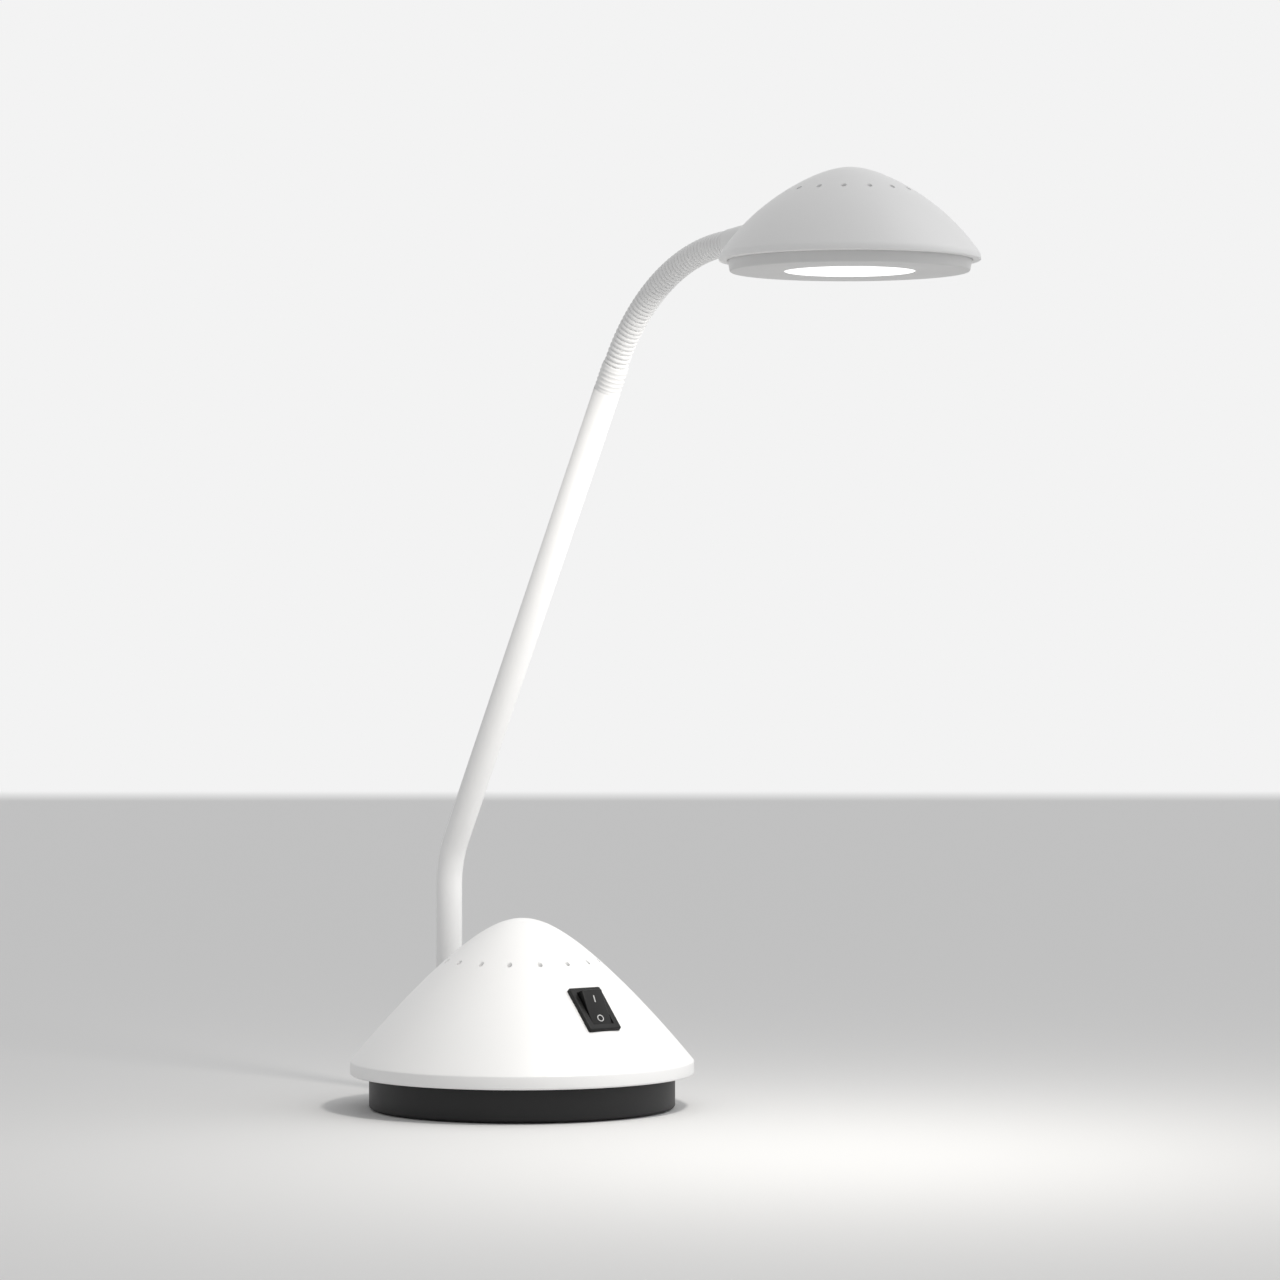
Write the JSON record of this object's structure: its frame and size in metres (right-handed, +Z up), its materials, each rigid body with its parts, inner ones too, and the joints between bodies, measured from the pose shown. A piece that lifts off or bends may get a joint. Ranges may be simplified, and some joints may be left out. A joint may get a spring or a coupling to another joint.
{
  "type": "gooseneck desk lamp",
  "caption": "Desk lamp with a domed weighted base, a bent tube arm, a ribbed flexible neck, a domed LED head with a round diffuser and a rocker switch.",
  "frame": {"origin": "on the table, under the middle of the round base", "axes": "+Z up, +X from the base towards the head; the arm, neck and head lie in the XZ plane"},
  "size_m": [0.318, 0.1364, 0.3561],
  "materials": {
    "white_abs": "satin moulded plastic",
    "white_paint": "satin powder coat",
    "white_sleeve": "satin ribbed sleeve",
    "black_abs": "fine matt moulded plastic",
    "switch_black": "satin moulded plastic",
    "foam_pad": "closed-cell foam",
    "black_rubber": "moulded rubber",
    "ballast_iron": "as cast",
    "steel": "zinc plated",
    "zinc_cast": "die cast",
    "cream_plastic": "moulded plastic",
    "green_board": "solder mask",
    "yellow_tape": "winding tape",
    "blue_sleeve": "shrink sleeve",
    "green_block": "moulded plastic",
    "brass": "tinned blade",
    "blue_wire": "wire insulation",
    "white_wire": "lead insulation",
    "aluminium": "anodised",
    "white_board": "white solder mask",
    "led_yellow": "phosphor",
    "opal": "opal moulded plastic",
    "reflector_white": "white moulded plastic"
  },
  "bodies": {
    "lamp_base": {"base_cover": "white_abs", "base_pan": "black_abs", "foot_pad": "foam_pad", "ballast_weight": "ballast_iron", "cover_screws": "steel", "driver_tray": "cream_plastic", "tray_screws": "steel", "driver_board": "green_board", "board_screws": "steel", "driver_transformer": "yellow_tape", "driver_capacitors": "blue_sleeve", "driver_terminals": "green_block", "switch_housing": "switch_black", "switch_terminals": "brass", "switch_leads": "blue_wire", "inlet_grommet": "black_rubber", "arm_socket": "zinc_cast", "arm_set_screw": "steel", "arm_tube": "white_paint", "arm_lead": "white_wire", "neck_collar": "white_abs", "neck_foot": "white_sleeve"},
    "switch_rocker": {"switch_rocker": "switch_black"},
    "neck_1": {"neck_link_1": "white_sleeve", "neck_lead_1": "white_wire"},
    "neck_2": {"neck_link_2": "white_sleeve", "neck_lead_2": "white_wire"},
    "neck_3": {"neck_link_3": "white_sleeve", "neck_lead_3": "white_wire"},
    "neck_4": {"neck_link_4": "white_sleeve", "neck_lead_4": "white_wire"},
    "neck_5": {"neck_link_5": "white_sleeve", "neck_lead_5": "white_wire"},
    "neck_6": {"neck_link_6": "white_sleeve", "neck_lead_6": "white_wire"},
    "neck_7": {"neck_link_7": "white_sleeve", "neck_lead_7": "white_wire"},
    "neck_8": {"neck_link_8": "white_sleeve", "neck_lead_8": "white_wire"},
    "neck_9": {"neck_link_9": "white_sleeve", "neck_lead_9": "white_wire"},
    "lamp_head": {"neck_tip": "white_sleeve", "neck_nut": "steel", "head_shell": "white_abs", "heat_spreader": "aluminium", "spreader_screws": "steel", "led_board": "white_board", "leds": "led_yellow", "reflector": "reflector_white", "diffuser": "opal", "head_bezel": "white_abs", "head_lead": "white_wire"}
  },
  "joints": [
    {"name": "neck_bend_1", "type": "hinge", "parent": "lamp_base", "child": "neck_1", "pos_m": [0.06405, 0, 0.29543], "axis": [0, 1, 0], "range_deg": [-12, 12]},
    {"name": "neck_sway_2", "type": "hinge", "parent": "neck_1", "child": "neck_2", "pos_m": [0.06882, 0, 0.30209], "axis": [-0.7837, 0, 0.6211], "range_deg": [-12, 12]},
    {"name": "neck_bend_3", "type": "hinge", "parent": "neck_2", "child": "neck_3", "pos_m": [0.07422, 0, 0.30826], "axis": [0, 1, 0], "range_deg": [-12, 12]},
    {"name": "neck_sway_4", "type": "hinge", "parent": "neck_3", "child": "neck_4", "pos_m": [0.0802, 0, 0.31388], "axis": [-0.6481, 0, 0.7615], "range_deg": [-12, 12]},
    {"name": "neck_bend_5", "type": "hinge", "parent": "neck_4", "child": "neck_5", "pos_m": [0.0867, 0, 0.31888], "axis": [0, 1, 0], "range_deg": [-12, 12]},
    {"name": "neck_sway_6", "type": "hinge", "parent": "neck_5", "child": "neck_6", "pos_m": [0.09365, 0, 0.32322], "axis": [-0.4879, 0, 0.8729], "range_deg": [-12, 12]},
    {"name": "neck_bend_7", "type": "hinge", "parent": "neck_6", "child": "neck_7", "pos_m": [0.101, 0, 0.32687], "axis": [0, 1, 0], "range_deg": [-12, 12]},
    {"name": "neck_sway_8", "type": "hinge", "parent": "neck_7", "child": "neck_8", "pos_m": [0.10866, 0, 0.32978], "axis": [-0.309, 0, 0.9511], "range_deg": [-12, 12]},
    {"name": "neck_bend_9", "type": "hinge", "parent": "neck_8", "child": "neck_9", "pos_m": [0.11658, 0, 0.33193], "axis": [0, 1, 0], "range_deg": [-12, 12]},
    {"name": "neck_sway_10", "type": "hinge", "parent": "neck_9", "child": "lamp_head", "pos_m": [0.12466, 0, 0.3333], "axis": [-0.1184, 0, 0.993], "range_deg": [-12, 12]},
    {"name": "switch_press", "type": "hinge", "parent": "lamp_base", "child": "switch_rocker", "pos_m": [0.04788, 0, 0.04216], "axis": [0, -1, 0], "range_deg": [0, 30]}
  ],
  "couplings": [
    {"joint": "neck_bend_3", "follows": "neck_bend_1", "ratio": 1},
    {"joint": "neck_sway_4", "follows": "neck_sway_2", "ratio": 1},
    {"joint": "neck_bend_5", "follows": "neck_bend_1", "ratio": 1},
    {"joint": "neck_sway_6", "follows": "neck_sway_2", "ratio": 1},
    {"joint": "neck_bend_7", "follows": "neck_bend_1", "ratio": 1},
    {"joint": "neck_sway_8", "follows": "neck_sway_2", "ratio": 1},
    {"joint": "neck_bend_9", "follows": "neck_bend_1", "ratio": 1},
    {"joint": "neck_sway_10", "follows": "neck_sway_2", "ratio": 1}
  ]
}
